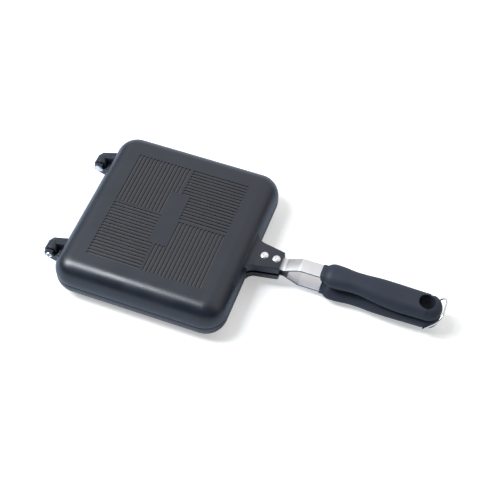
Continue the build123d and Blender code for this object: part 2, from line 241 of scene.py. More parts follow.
def slab(loop: Array, span: Pair, softening: float) -> list[Sheet]:
    """A flat outline given a width along Y, with both its rims rounded over.

    Row k lies at depth d(k) from a face and is moved inwards by the softening s less
    sqrt(s^2 - (s - d)^2), which rolls the side over into the face.

    Args:
        loop: Outline in the XZ plane, anticlockwise, of shape (n, 2).
        span: The two Y values between the faces.
        softening: Radius of the rims.

    Returns:
        The side and its two caps.
    """
    along = unit(np.roll(loop, -1, axis=0) - np.roll(loop, 1, axis=0))
    depth, moved = rolled(softening, arc(0, 90, 4))
    inset = joined(moved, moved[::-1])[:, None]
    level = joined(span[0] + depth, span[1] - depth[::-1])[:, None]
    side = spots(loop[:, 0] - inset * along[:, 1], level, loop[:, 1] + inset * along[:, 0])
    return [Sheet(side, True), capped(side[0]), capped(side[-1])]


def tube(path: Array, normal: Array, radius: float, steps: int) -> list[Sheet]:
    """A round wire along a path in one plane: point + r (cos a * side + sin a * normal).

    Args:
        path: Points along the wire's middle, of shape (n, 3).
        normal: Unit vector square to the plane of the path.
        radius: Radius of the wire.
        steps: Number of points round the wire.

    Returns:
        The wire's skin and its two slightly domed ends.
    """
    along, angle = unit(np.gradient(path, axis=0)), arc(0, 360, steps)[:-1, None]
    around = np.cos(angle) * np.cross(along, normal)[:, None] + np.sin(angle) * normal
    dome = arc(0, 90, 4)[1:, None, None]
    sheets = [Sheet(path[:, None] + radius * around, True)]
    for end, outward in ((0, -along[0]), (-1, along[-1])):
        rows = path[end] + radius * (np.cos(dome) * around[end] + 0.5 * np.sin(dome) * outward)
        sheets.append(Sheet(joined(sheets[0].points[end][None], rows), True))
    return sheets


def bent_path(corners: Array, radii: Sequence[float], steps: int) -> Array:
    """A path of straight runs joined by arcs that touch both runs.

    At a corner with unit directions u in and v out, half the turn is h, the arc starts
    r tan(h) before the corner, and its middle lies at r / cos(h) along v - u.

    Args:
        corners: Corner points in a plane, of shape (n, 2).
        radii: Bend radius at each inner corner.
        steps: Number of steps along each arc.

    Returns:
        Points along the path, of shape (m, 2).
    """
    pieces = [corners[:1]]
    for before, corner, after, radius in zip(corners, corners[1:], corners[2:], radii):
        u, v = unit(corner - before), unit(after - corner)
        turn = math.acos(float(np.clip(u @ v, -1.0, 1.0)))
        square = unit(v - (u @ v) * u)
        start = corner - radius * math.tan(turn / 2) * u
        swing = np.linspace(0.0, turn, steps + 1)[:, None]
        pieces.append(start + radius * (np.sin(swing) * u + (1 - np.cos(swing)) * square))
    return joined(*pieces, corners[-1:])


# --- shader nodes ---------------------------------------------------------------------------
@dataclass
class NodeDesk:
    """Places and links the nodes of one tree."""

    tree: Tree

    def add(self, kind: str, **settings: object) -> Node:
        """Adds a node and sets its properties.

        Args:
            kind: Blender's class of the node.
            settings: Property names and values.

        Returns:
            The new node.
        """
        node = self.tree.nodes.new(kind)
        for label, value in settings.items():
            setattr(node, label, value)
        return node

    def put(self, node: Node, values: dict[str | int, object]) -> Node:
        """Fills a node's inputs, linking each value that is a socket.

        Args:
            node: The node to fill.
            values: Names or numbers of inputs with numbers, colours or sockets.

        Returns:
            The same node.
        """
        for label, value in values.items():
            if isinstance(value, Socket):
                self.tree.links.new(value, node.inputs[label])
            else:
                node.inputs[label].default_value = value
        return node

    def place(self, kind: str) -> Socket:
        """The coordinates of a surface point or of a direction."""
        return self.add("ShaderNodeTexCoord").outputs[kind]

    def noise(self, place: Socket, scale: object, detail: float, rough: float = 0.5) -> Socket:
        """A noise value at a place, from 0 to 1."""
        values = {"Vector": place, "Scale": scale, "Detail": detail, "Roughness": rough}
        return self.put(self.add("ShaderNodeTexNoise"), values).outputs["Fac"]

    def ranged(self, value: Socket, span: Sequence[float], to: Pair = (0.0, 1.0)) -> Socket:
        """A value carried from one span to another and kept inside it, with soft ends."""
        node = self.add("ShaderNodeMapRange", interpolation_type="SMOOTHSTEP")
        values = {"Value": value, "From Min": span[0], "From Max": span[1], "To Min": to[0], "To Max": to[1]}
        return self.put(node, values).outputs["Result"]

    def maths(self, operation: str, first: object, second: object = 0.0) -> Socket:
        """One step of arithmetic on two values or sockets."""
        return self.put(self.add("ShaderNodeMath", operation=operation), {0: first, 1: second}).outputs[0]

    def times(self, first: object, second: object) -> Socket:
        """The product of two values or sockets."""
        return self.maths("MULTIPLY", first, second)

    def size(self, value: Socket) -> Socket:
        """A value without its sign."""
        return self.maths("ABSOLUTE", value)

    def axes(self, place: Socket) -> Sockets:
        """The three coordinates of a place, by their letters."""
        return self.put(self.add("ShaderNodeSeparateXYZ"), {"Vector": place}).outputs

    def blended(self, share: object, first: object, second: object) -> Socket:
        """Two colours mixed by a share from 0 to 1."""
        node = self.add("ShaderNodeMix", data_type="RGBA")
        return self.put(node, {0: share, 6: first, 7: second}).outputs[2]

    def relief(self, height: Socket, depth: float, strength: float) -> Socket:
        """A surface normal from a height, whose full range stands for a depth in metres."""
        values = {"Height": height, "Distance": depth, "Strength": strength}
        return self.put(self.add("ShaderNodeBump"), values).outputs["Normal"]

    def use(self, tree: Tree, place: Socket, **values: float) -> Sockets:
        """The outputs of a node group at a place, with its inputs named by their first words."""
        named = {f"{word} per metre": value for word, value in values.items()}
        return self.put(self.add("ShaderNodeGroup", node_tree=tree), {"Place": place, **named}).outputs


def new_group(name: str, inputs: Sequence[str], outputs: Sequence[str]) -> tuple[NodeDesk, Sockets, Node]:
    """Starts a node group with a coordinate input, number inputs and number outputs.

    Args:
        name: Name of the group.
        inputs: Names of its number inputs.
        outputs: Names of its number outputs.

    Returns:
        The group's desk, the values that it is given, and the node that takes its results.
    """
    tree = bpy.data.node_groups.new(name, "ShaderNodeTree")
    tree.interface.new_socket("Place", in_out="INPUT", socket_type="NodeSocketVector")
    for label, way in [(label, "INPUT") for label in inputs] + [(label, "OUTPUT") for label in outputs]:
        tree.interface.new_socket(label, in_out=way, socket_type="NodeSocketFloat")
    return NodeDesk(tree), tree.nodes.new("NodeGroupInput").outputs, tree.nodes.new("NodeGroupOutput")


@dataclass(frozen=True)
class SurfaceEffects:
    """The effects that several finishes share, each a node group built when it is first used."""

    specks: Pair = (0.60, 0.72)  # noise where a speck starts and where it is full
    clouds: Pair = (0.3, 0.7)  # noise where a cloudy mark starts and where it is full
    lines: float = 4000.0  # drawn lines per metre
    stretch: float = 0.02  # detail along a drawn line, as share of that across it
    sheen: float = 120.0  # waves of the sheen per metre
    bends: Pair = (0.53, 0.60)  # pointiness where a painted glint on an edge starts and where it is full
    breaks: float = 300.0  # breaks in the painted edge glint per metre
    break_span: Pair = (0.35, 0.65)  # noise where the painted edge glint is weakest and where it is full
    weakest: float = 0.25  # share of the painted edge glint that is left in a break
    field_half: Pair = (0.0535, 0.059)  # half sizes of the grooved field in metres
    floor_span: Pair = (0.0180, 0.0186)  # the floors' distance from the parting plane in metres

    @cached_property
    def grain(self) -> Tree:
        """Grain: fine noise for height and speckle, slow noise for cloudy marks."""
        inputs = ("Grains per metre", "Clouds per metre")
        desk, given, out = new_group("fine_grain", inputs, ("Grain", "Speckle", "Clouds"))
        fine = desk.noise(given["Place"], given[inputs[0]], detail=2.0)
        slow = desk.noise(given["Place"], given[inputs[1]], detail=4.0, rough=0.6)
        desk.put(out, {"Grain": fine, "Speckle": desk.ranged(fine, self.specks),
                       "Clouds": desk.ranged(slow, self.clouds)})
        return desk.tree

    @cached_property
    def drawn(self) -> Tree:
        """Drawn lines: noise stretched along X, with a slower waviness of the sheen."""
        desk, given, out = new_group("drawn_lines", (), ("Lines", "Sheen"))
        parts = desk.axes(given["Place"])
        values = {"X": desk.times(parts["X"], self.stretch), "Y": parts["Y"], "Z": parts["Z"]}
        stretched = desk.put(desk.add("ShaderNodeCombineXYZ"), values).outputs[0]
        desk.put(out, {"Lines": desk.noise(stretched, self.lines, detail=3.0, rough=0.7),
                       "Sheen": desk.noise(given["Place"], self.sheen, detail=2.0)})
        return desk.tree

    @cached_property
    def edges(self) -> Tree:
        """Painted edge glints: outward bends of the surface lightened, broken up by noise."""
        desk, given, out = new_group("painted_edge_glints", (), ("Edge",))
        bend = desk.ranged(desk.add("ShaderNodeNewGeometry").outputs["Pointiness"], self.bends)
        noise = desk.noise(given["Place"], self.breaks, detail=3.0)
        desk.put(out, {"Edge": desk.times(bend, desk.ranged(noise, self.break_span, (self.weakest, 1.0)))})
        return desk.tree

    @cached_property
    def floors(self) -> Tree:
        """Groove floors: a band of heights inside the grooved field, on either side of the parting plane."""
        desk, given, out = new_group("groove_floors", (), ("Floor",))
        parts = desk.axes(given["Place"])
        over = desk.size(desk.maths("SUBTRACT", parts["Z"], PARTING_PLANE * MM))
        share = desk.maths("GREATER_THAN", over, self.floor_span[0])
        limits = ((over, self.floor_span[1]), (desk.size(parts["X"]), self.field_half[0]),
                  (desk.size(parts["Y"]), self.field_half[1]))
        for value, limit in limits:
            share = desk.times(share, desk.maths("LESS_THAN", value, limit))
        desk.put(out, {"Floor": share})
        return desk.tree


# --- finishes -------------------------------------------------------------------------------
def material_desk(name: str) -> tuple[Material, NodeDesk, Node]:
    """Starts a material.

    Args:
        name: Name of the material.

    Returns:
        The material, its desk and its Principled shader.
    """
    material = bpy.data.materials.new(name)
    material.use_nodes = True
    return material, NodeDesk(material.node_tree), material.node_tree.nodes["Principled BSDF"]


@dataclass(frozen=True)
class DarkSkin:
    """A dark satin skin with a fine grain: the castings' coating and the grips' moulded plastic."""

    name: str
    colour: Triple
    pale: Triple  # colour of its specks, its clouds and its painted edge glints
    shares: Triple  # how far specks, clouds and painted edge glints turn pale
    spacing: Pair  # grains and clouds per metre
    relief: Pair  # depth of the grain in metres, and its strength
    roughness: Pair  # between the clouds and in them
    specular: float
    painted_groove_light: float = 0.0  # how far the grooves' floors are painted lighter, as painted light in the grooves
    groove_light_colour: Triple = (0.060, 0.052, 0.050)  # colour of the painted light on the groove floors

    def make(self, effects: SurfaceEffects) -> Material:
        """Builds the material in layers, each blended over the last by its mask.

        Args:
            effects: The shared node groups.

        Returns:
            The finished material.
        """
        material, desk, shader = material_desk(self.name)
        place = desk.place("Object")
        grain = desk.use(effects.grain, place, Grains=self.spacing[0], Clouds=self.spacing[1])
        # The edge mask paints a glint: convex edges turn pale.
        floors, edge = desk.use(effects.floors, place)["Floor"], desk.use(effects.edges, place)["Edge"]
        colour, pale, (specks, clouds, edge_glint) = (*self.colour, 1.0), (*self.pale, 1.0), self.shares
        # The floors layer paints light into the grooves: their floors turn lighter and warmer.
        layers = ((grain["Speckle"], specks, pale), (grain["Clouds"], clouds, pale),
                  (floors, self.painted_groove_light, (*self.groove_light_colour, 1.0)), (edge, edge_glint, pale))
        for mask, share, tint in layers:
            if share > 0:
                colour = desk.blended(desk.times(mask, share), colour, tint)
        rough = desk.ranged(grain["Clouds"], (0.0, 1.0), self.roughness)
        desk.put(shader, {"Base Color": colour, "Roughness": rough, "Specular IOR Level": self.specular,
                          "Normal": desk.relief(grain["Grain"], *self.relief)})
        return material


@dataclass(frozen=True)
class BareSteel:
    """Bright steel with drawn lines and a faint cloudy film, and on a strip painted shade along its edges and
    on the lower strip beside the lug.
    """

    name: str
    colour: Triple
    roughness: float  # its mean
    half_width: float = 0.0  # half the width in metres of a strip whose edges get painted shade, or 0
    painted_shade: Triple = (0.16, 0.16, 0.17)  # colour of the painted shade on the edges and on the lower strip's root
    cut: Pair = (0.00030, 0.00012)  # how far inside the side the painted edge shade starts and is full, in metres
    root: Pair = (0.1085, 0.1095)  # X in metres over which the painted shade on the lower strip, beside the lug, fades out
    spacing: Pair = (1500.0, 70.0)  # grains and clouds per metre
    dulled: float = 0.93  # share of its colour that is left in a cloud
    sheen: Pair = (0.3, 0.7)  # sheen values between which the roughness changes
    swing: Pair = (0.03, 0.04)  # how far the sheen lowers and raises the roughness
    relief: Pair = (0.000004, 0.3)  # depth of the drawn lines in metres, and their strength

    def make(self, effects: SurfaceEffects) -> Material:
        """Builds the material.

        Args:
            effects: The shared node groups.

        Returns:
            The finished material.
        """
        material, desk, shader = material_desk(self.name)
        place = desk.place("Object")
        drawn = desk.use(effects.drawn, place)
        grain = desk.use(effects.grain, place, Grains=self.spacing[0], Clouds=self.spacing[1])
        dull = tuple(self.dulled * share for share in self.colour)
        colour = desk.blended(grain["Clouds"], (*self.colour, 1.0), (*dull, 1.0))
        # Painted shade: the strip's edges, and the lower strip below the parting plane next to the lug, turn
        # dark.
        if self.half_width > 0:
            parts = desk.axes(place)
            cut = desk.ranged(desk.size(parts["Y"]), [self.half_width - inside for inside in self.cut])
            near = desk.ranged(parts["X"], self.root, (1.0, 0.0))
            below = desk.maths("LESS_THAN", parts["Z"], PARTING_PLANE * MM)
            painted_shade_mask = desk.maths("MAXIMUM", cut, desk.times(near, below))
            colour = desk.blended(painted_shade_mask, colour, (*self.painted_shade, 1.0))
        span = (self.roughness - self.swing[0], self.roughness + self.swing[1])
        rough = desk.ranged(drawn["Sheen"], self.sheen, span)
        desk.put(shader, {"Base Color": colour, "Metallic": 1.0, "Roughness": rough,
                          "Normal": desk.relief(drawn["Lines"], *self.relief)})
        return material


FINISHES = {
    Slot.CASTING: DarkSkin("dark_coated_casting", (0.008, 0.012, 0.022), (0.030, 0.036, 0.052),
                           shares=(0.30, 0.10, 0.35), spacing=(1900.0, 28.0), relief=(0.00002, 0.6),
                           roughness=(0.28, 0.35), specular=0.65, painted_groove_light=0.8),
    Slot.GRIP: DarkSkin("moulded_grip_plastic", (0.022, 0.028, 0.045), (0.040, 0.048, 0.072),
                        shares=(0.0, 0.15, 0.3), spacing=(3200.0, 45.0), relief=(0.00003, 0.7),
                        roughness=(0.51, 0.60), specular=0.36),
    Slot.STRIP: BareSteel("rolled_strip_steel", (0.80, 0.79, 0.81), 0.40, half_width=0.0065),
    Slot.RIVET: BareSteel("rivet_steel", (0.92, 0.92, 0.94), 0.30),
    Slot.WIRE: BareSteel("bright_wire", (0.85, 0.84, 0.83), 0.22),
}


# --- pieces ---------------------------------------------------------------------------------
def linked(name: str, data: bpy.types.ID) -> bpy.types.Object:
    """A new object of the scene that carries a mesh, a lamp or a camera."""
    found = bpy.data.objects.new(name, data)
    bpy.context.scene.collection.objects.link(found)
    return found


class Piece:
    """What every kind of piece shares: it stands in for one CAD node and is named after it.

    Attributes:
        half: The half that the piece belongs to, for those that belong to one.
        part: The node's name after that half's label.
        making: What the piece's name adds to the node's name.
        slot: The record's slot that its finish comes from.
        sharp: Angle in degrees past which an edge is shaded sharp.
    """

    half: Half
    part: ClassVar[str]
    making: ClassVar[str]
    slot: ClassVar[Slot]
    sharp: ClassVar[float]

    @property
    def node(self) -> str:
        """Name of the CAD node that it replaces."""
        return f"{self.half.label}_{self.part}"

    @property
    def body(self) -> str:
        """The rigid body that it moves with."""
        return self.half.body

    def forms(self) -> list[list[Sheet]]:
        """The surfaces that bound each of its closed forms, which place() then carries."""
        raise NotImplementedError

    def place(self, points: Array) -> Array:
        """Carries points of its forms to the shared frame."""
        return self.half.placed(points)

    def build(self, finish: Material) -> bpy.types.Object:
        """Meshes the piece, dresses it and stands it in for its CAD node.

        Args:
            finish: Its material.

        Returns:
            The object that carries the mesh.
        """
        node, body, slot = self.node, self.body, self.slot
        forms = [[sheet.moved(self.place) for sheet in sheets] for sheets in self.forms()]
        mesh = mesh_of(f"{node}_{self.making}", forms, self.sharp)
        mesh.materials.append(finish)
        piece = linked(mesh.name, mesh)
        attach(piece, body)
        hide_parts(node)
        LOG.info("%s stands in for %s with %d faces", piece.name, node, len(mesh.polygons))
        return piece


# --- pans -----------------------------------------------------------------------------------
@dataclass(frozen=True)
class GrooveField:
    """Basket-weave grooves: quarters of parallel bars, along Y and along X in turn."""

    edge: Pair = (50.1, 55.6)  # middle of the outermost bars, along X and along Y
    pitch: Pair = (3.344, 3.28)  # between bars, along X and along Y
    overrun: float = 1.2  # how far bar ends reach past the outermost bars
    stops: Pair = (0.2, 3.3)  # where bars stop beside the middle line, on the +X and on the -X side
    plaque: Pair = (7.9, 27.9)  # half sizes of the bare rectangle in the middle
    half_width: float = 0.875  # half the width of a groove
    side: Triple = (-0.075, 0.035, 0.155)  # lines down a groove's side, inwards from half_width
    sunk: Triple = (0.0, 0.10, 0.90)  # depth at each of those lines
    margin: float = 1.4  # flat border round the bars

    def quarter(self, side_x: float, side_y: float, along: int) -> Array:
        """The bars of one quarter.

        Args:
            side_x: Sign of the quarter's X values.
            side_y: Sign of its Y values.
            along: 0 for bars along X, 1 for bars along Y.

        Returns:
            Rows of low x, low y, high x, high y.
        """
        over = 1 - along
        count = round(self.edge[over] / self.pitch[over]) + (1 if side_y < 0 else 0)
        across = self.edge[over] - self.pitch[over] * np.arange(count)
        stop = self.stops[0 if side_x > 0 else 1]
        start = np.where(across < self.plaque[over], self.plaque[along], stop)
        low, high = np.empty((count, 2)), np.empty((count, 2))
        low[:, along], high[:, along] = start, self.edge[along] + self.overrun
        low[:, over], high[:, over] = across - self.half_width, across + self.half_width
        ends = np.stack((low, high)) * (side_x, side_y)
        return joined(ends.min(axis=0), ends.max(axis=0), axis=1)

    def bars(self) -> Array:
        """All bars as rows of low x, low y, high x, high y."""
        quarters = ((-1, 1, 1), (1, 1, 0), (-1, -1, 0), (1, -1, 1))
        return joined(*[self.quarter(*quarter) for quarter in quarters])

    def lines(self, axis: int) -> Array:
        """Grid lines square to an axis: the field's borders and the sides of every bar."""
        bars, steps = self.bars(), np.array(self.side)
        border = self.edge[axis] + self.overrun + self.margin
        sides = (bars[:, axis, None] + steps, bars[:, axis + 2, None] - steps, (-border, border))
        return np.unique(np.round(joined(*[np.ravel(side) for side in sides]), 3))

    def sheet(self, level: float) -> Sheet:
        """The field as a height over x and y: level - depth(how far inside a bar the point is).

        Args:
            level: Height of the flat face.

        Returns:
            The grooved surface.
        """
        x, y = np.meshgrid(self.lines(0), self.lines(1))
        bars = self.bars().T[:, :, None, None]
        inside = np.minimum(np.minimum(x - bars[0], bars[2] - x), np.minimum(y - bars[1], bars[3] - y))
        depth = np.interp(inside.max(axis=0), self.side, self.sunk)
        return Sheet(spots(x, y, level - depth))


@dataclass(frozen=True)
class PanForm:
    """A cast pan: rounded square dish, open at the parting plane."""

    half: Pair = PAN_HALF
    corner: float = 19.0  # rim corner radius, seen from above
    rim: float = 3.0  # straight part of the side, next to the parting plane
    edge: float = 16.2  # rounding from the side to the flat face
    wall: float = 3.0  # casting thickness
    softening: float = 0.6  # rounding of the rim's outer edge
    shoulder: float = 0.7  # flat kept outside the rounding's start
    grooves: GrooveField = GrooveField()  # the pattern on the flat face

    def profile(self) -> Array:
        """Inset from the rim and height, from the flat face over the rim to the inner face."""
        turn, roll, inner = arc(0, 90, 18), arc(0, 90, 4), arc(90, 0, 10)
        foot, deep = HALF_GAP + self.softening, self.edge - self.wall
        return joined(
            [(self.edge + self.shoulder, self.rim + self.edge)],
            pairs(self.edge * (1 - np.sin(turn)), self.rim + self.edge * np.cos(turn)),
            pairs(self.softening * (1 - np.cos(roll)), foot - self.softening * np.sin(roll)),
            [(self.wall, HALF_GAP)],
            pairs(self.wall + deep * (1 - np.sin(inner)), self.rim + deep * np.cos(inner)))

    def columns(self) -> tuple[Array, Array]:
        """Where each column starts on the field's border, and its outward direction."""
        x, y = self.grooves.lines(0), self.grooves.lines(1)
        border = np.array((x.max(), y.max()))
        starts, outwards = [], []
        for number, line in enumerate((y, x[::-1], y[::-1], x)):
            sign, fixed = (1.0 if number < 2 else -1.0), number % 2
            side = np.empty((len(line), 2))
            side[:, fixed], side[:, 1 - fixed] = sign * border[fixed], line
            turn = arc(90 * number, 90 * number + 90, 12)[1:-1]
            square = (np.cos(np.pi / 2 * number), np.sin(np.pi / 2 * number))
            starts += [side, np.broadcast_to(side[-1], (len(turn), 2))]
            outwards += [np.broadcast_to(square, side.shape), pairs(np.cos(turn), np.sin(turn))]
        return joined(*starts), joined(*outwards)

    def sheets(self) -> list[Sheet]:
        """The dish: each point is anchor + (corner - inset) * outward, at the profile's height."""
        start, outward = self.columns()
        anchor = start * (np.array(self.half) - self.corner) / start.max(axis=0)
        inset, height = self.profile().T[:, :, None]
        flat = anchor + (self.corner - inset)[..., None] * outward
        body, top = spots(flat[..., 0], flat[..., 1], height), self.rim + self.edge
        first, last = spots(*start.T, top)[None], spots(*0 * start.T, top - self.wall)[None]
        return [Sheet(joined(first, body, last), True), self.grooves.sheet(top)]


@dataclass(frozen=True)
class LugForm:
    """Handle lug: an upturned channel round the strap, hollowing up into the pan's edge."""

    pan: PanForm = PanForm()  # the pan that it grows from
    foot: float = 102.6  # X of its end on the parting plane
    under: float = 1.6  # height of its underside, over the slit between the two lugs
    half_width: float = 9.6  # half width at its end
    lean: float = 0.6  # how much its sides and end lean inwards over its height
    taper: float = 0.175  # widening of each side towards the pan, per length
    root: float = 11.0  # hollow into the pan, seen from above
    root_turn: Pair = (9.6, 80.0)  # angles that the sections along the root's arc lie between
    sections: Triple = (85.5, 90.0, 97.0)  # X of further sections
    end_face: float = 100.0  # X past which a section belongs to the end and leans with it
    hollow: float = 10.0  # hollow between its top and the pan's edge
    channel_half: float = 6.7  # half width of the strap's channel
    roof: float = 4.2  # height of the channel's roof
    softening: float = 0.8  # rounding of its top and end edges

    def hollow_ends(self) -> Pair:
        """X where the hollow leaves the level top, and X where it touches the pan's edge."""
        reach = self.pan.edge + self.hollow
        run = math.sqrt(reach ** 2 - (LUG_TOP + self.hollow - self.pan.rim) ** 2)
        middle = self.pan.half[0] - self.pan.edge
        return middle + run, middle + run * self.pan.edge / reach

    def width_at(self, x: Array) -> Array:
        """Half width on the parting plane: a taper, then the root's arc."""
        slant, turn_x = math.atan(self.taper), self.hollow_ends()[1] + self.root
        straight = self.half_width + self.taper * (self.foot - x)
        turn_y = self.half_width + self.taper * (self.foot - turn_x) + self.root / math.cos(slant)
        curved = turn_y - np.sqrt(np.clip(self.root ** 2 - (turn_x - x) ** 2, 0.0, None))
        return np.where(x < turn_x - self.root * math.sin(slant), curved, straight)

    def top_at(self, x: Array) -> Array:
        """Height of the top: level, then the hollow's arc."""
        past = np.clip(self.hollow_ends()[0] - x, 0.0, None)
        return LUG_TOP + (self.hollow - np.sqrt(np.clip(self.hollow ** 2 - past ** 2, 0.0, None)))

    def stations(self) -> Array:
        """Rows of x and inset: close together along the root, rolled over at the end."""
        along = self.hollow_ends()[1] + self.root - self.root * np.cos(arc(*self.root_turn, 16))
        channel = (STRAP_START - SLIVER, STRAP_START + SLIVER)
        level = np.sort(joined(along, channel, self.sections))
        inset, back = rolled(self.softening, arc(0, 90, 4))
        return pairs(joined(level, self.foot - back), joined(np.zeros(len(level)), inset))

    def sheets(self) -> list[Sheet]:
        """The lug as sections swept along X, each a path over the outside and back under the roof."""
        x, inset = self.stations().T[:, :, None]
        width, top, soft = self.width_at(x) - inset, self.top_at(x) - inset, self.softening
        lean = self.lean / LUG_TOP
        side = self.under + (top - soft - self.under) * np.array((0.0, 0.5, 1.0))
        inward, down = rolled(soft, arc(0, 90, 4)[1:])
        y = joined(width - lean * side, width - lean * top - inward, axis=1)
        z = joined(side, top - down, axis=1)
        y = joined(y, 0 * top, -y[:, ::-1], axis=1)
        z = joined(z, top, z[:, ::-1], axis=1)
        roof = np.where(x > STRAP_START, self.roof, self.under)
        outside = spots(x - np.where(x > self.end_face, lean * z, 0.0), y, z)
        y = np.clip(y, -self.channel_half, self.channel_half)
        inside = spots(outside[..., 0], y, np.minimum(z, roof))
        caps = [Sheet(np.stack((outside[row], inside[row]))) for row in (0, -1)]
        return [Sheet(joined(outside, inside[:, ::-1], axis=1), True), *caps]


@dataclass(frozen=True)
class HingeForm:
    """The cast parts of both hinges, round an axis on the parting plane."""

    half_span: float = 7.8  # half the width of one hinge
    web: float = 7.1  # width of the upper pan's arm
    near_arm: float = 3.4  # width of the lower pan's arm
    room: float = 0.3  # air between the knuckle and the lower pan
    end: float = 4.9  # radius that the arms' bevelled ends lie within
    root: Pair = (-74.2, 10.03)  # where the arms' upper side ends inside the pan's wall, as x and height
    knuckle: float = 6.0  # radius of the knuckle beside the arm
    short: float = 3.2  # how far the knuckle stops inside the web's outer side
    softening: float = 0.5  # rounding of the rims

    @property
    def slope(self) -> float:
        """Angle of the arms' upper side, which touches the round end and passes the root."""
        run, rise = self.root[0] - HINGE_X, self.root[1]
        return math.atan2(rise, run) - math.asin(self.end / math.hypot(run, rise))

    def arm_outline(self) -> Array:
        """An arm seen along Y: bevelled end, sloping upper side, straight lower side."""
        low = 360 + math.degrees(math.asin(HALF_GAP / self.end))
        turn = ring(HINGE_X, self.end, arc(90 + math.degrees(self.slope), low, 5))
        return joined(turn, [(self.root[0], HALF_GAP), self.root])

    def cradle_outline(self) -> Array:
        """The lower pan's ledge: an arm hollowed round the knuckle."""
        hollow = self.knuckle + self.room
        low = math.degrees(math.asin(HALF_GAP / hollow))
        high = 90 + math.degrees(self.slope - math.acos(self.end / hollow))
        turn = ring(HINGE_X, hollow, arc(high, low, 10))
        return joined([(self.root[0], HALF_GAP), self.root], turn)

    def sheets(self, half: Half) -> list[Sheet]:
        """The arms of one half at both hinges."""
        found: list[Sheet] = []
        for hinge in Hinge:
            near, far = hinge.value - self.half_span, hinge.value + self.half_span
            beside = near + self.near_arm
            if half is Half.UPPER:
                knuckle = ring(HINGE_X, self.knuckle, arc(0, 360, 40)[:-1])
                found += slab(self.arm_outline(), (far - self.web, far), self.softening)
                found += slab(knuckle, (beside + self.room, far - self.short), self.softening)
            else:
                found += slab(self.arm_outline(), (near, beside), self.softening)
                found += slab(self.cradle_outline(), (beside - self.softening, far), self.softening)
        return found


@dataclass(frozen=True)
class Pan(Piece):
    """One pan with its lug and its hinge arms."""

    half: Half
    form: PanForm = PanForm()
    lug: LugForm = LugForm()
    hinge: HingeForm = HingeForm()
    part, making, slot, sharp = "pan", "casting", Slot.CASTING, 32.0

    def forms(self) -> list[list[Sheet]]:
        """Dish, lug and arms in one form, whose points are merged where they meet."""
        return [self.form.sheets() + self.lug.sheets() + self.hinge.sheets(self.half)]


# --- straps, rivets and wire ----------------------------------------------------------------
@dataclass(frozen=True)
class Strap(Piece):
    """Bent strip: level in the lug, rising to the grip, level again inside it."""

    half: Half
    corners: tuple[Pair, ...] = ((STRAP_START, 3.45), (106.09, 3.45), (119.19, 10.55), (190.0, 10.55))
    bend: float = 4.75  # radius of the bends in the middle line, whose corners are x and height
    width: float = 13.0
    thickness: float = 1.5
    softening: float = 0.3  # rounding of its long edges
    part, making, slot, sharp = "strap", "strip", Slot.STRIP, 35.0

    def forms(self) -> list[list[Sheet]]:
        """The strip: path + height * square to the path, at y across it."""
        path = bent_path(np.array(self.corners), (self.bend, self.bend), steps=8)
        along = unit(np.gradient(path, axis=0))[:, None]
        reach = (self.width / 2 - self.softening, self.thickness / 2 - self.softening)
        edges = ((0, (1, 1)), (90, (-1, 1)), (180, (-1, -1)), (270, (1, -1)))
        rolls = [np.multiply(reach, signs) + ring(0.0, self.softening, arc(start, start + 90, 3))
                 for start, signs in edges]
        across, over = joined(*rolls).T
        points = spots(path[:, :1] - over * along[..., 1], across, path[:, 1:] + over * along[..., 0])
        return [[Sheet(points, True), capped(points[0]), capped(points[-1])]]


@dataclass(frozen=True)
class LugRivets(Piece):
    """Two rivets through a lug: low domed heads with a small dimple, flat tails inside."""

    half: Half
    places: Pair = (86.5, 97.1)  # X of each rivet
    head: float = 3.6  # radius of the heads
    dome: float = 1.3  # height of the heads
    dimple: Pair = (0.70, 0.60)  # radius and depth of the dimple that the setting tool leaves
    shank: float = 2.0  # radius of the shank
    tail: float = 3.2  # radius of the tail
    tail_span: Pair = (1.7, 2.7)  # heights of the tail's two faces
    softening: float = 0.4  # rounding of the tail
    part, making, slot, sharp = "lug_rivets", "turned", Slot.RIVET, 50.0

    def profile(self) -> Array:
        """Radius and height: dome (1 - share^4)^(1/2) less a bell-shaped dimple, then shank and tail."""
        radius = self.head * np.sin(np.linspace(0.0, math.pi / 2, 30))
        cap = LUG_TOP + self.dome * np.sqrt(1 - (radius / self.head) ** 4)
        cap -= self.dimple[1] * np.exp(-(radius / self.dimple[0]) ** 2)
        (low, high), (inward, up) = self.tail_span, rolled(self.softening, arc(0, 90, 4))
        rest = [(self.shank, LUG_TOP), (self.shank, high), (self.tail, high)]
        return joined(pairs(radius, cap), rest, pairs(self.tail - inward, low + up), [(0.0, low)])

    def forms(self) -> list[list[Sheet]]:
        """Both rivets, turned."""
        one = turned(self.profile(), steps=48)
        return [[Sheet(one + (x, 0.0, 0.0), True) for x in self.places]]


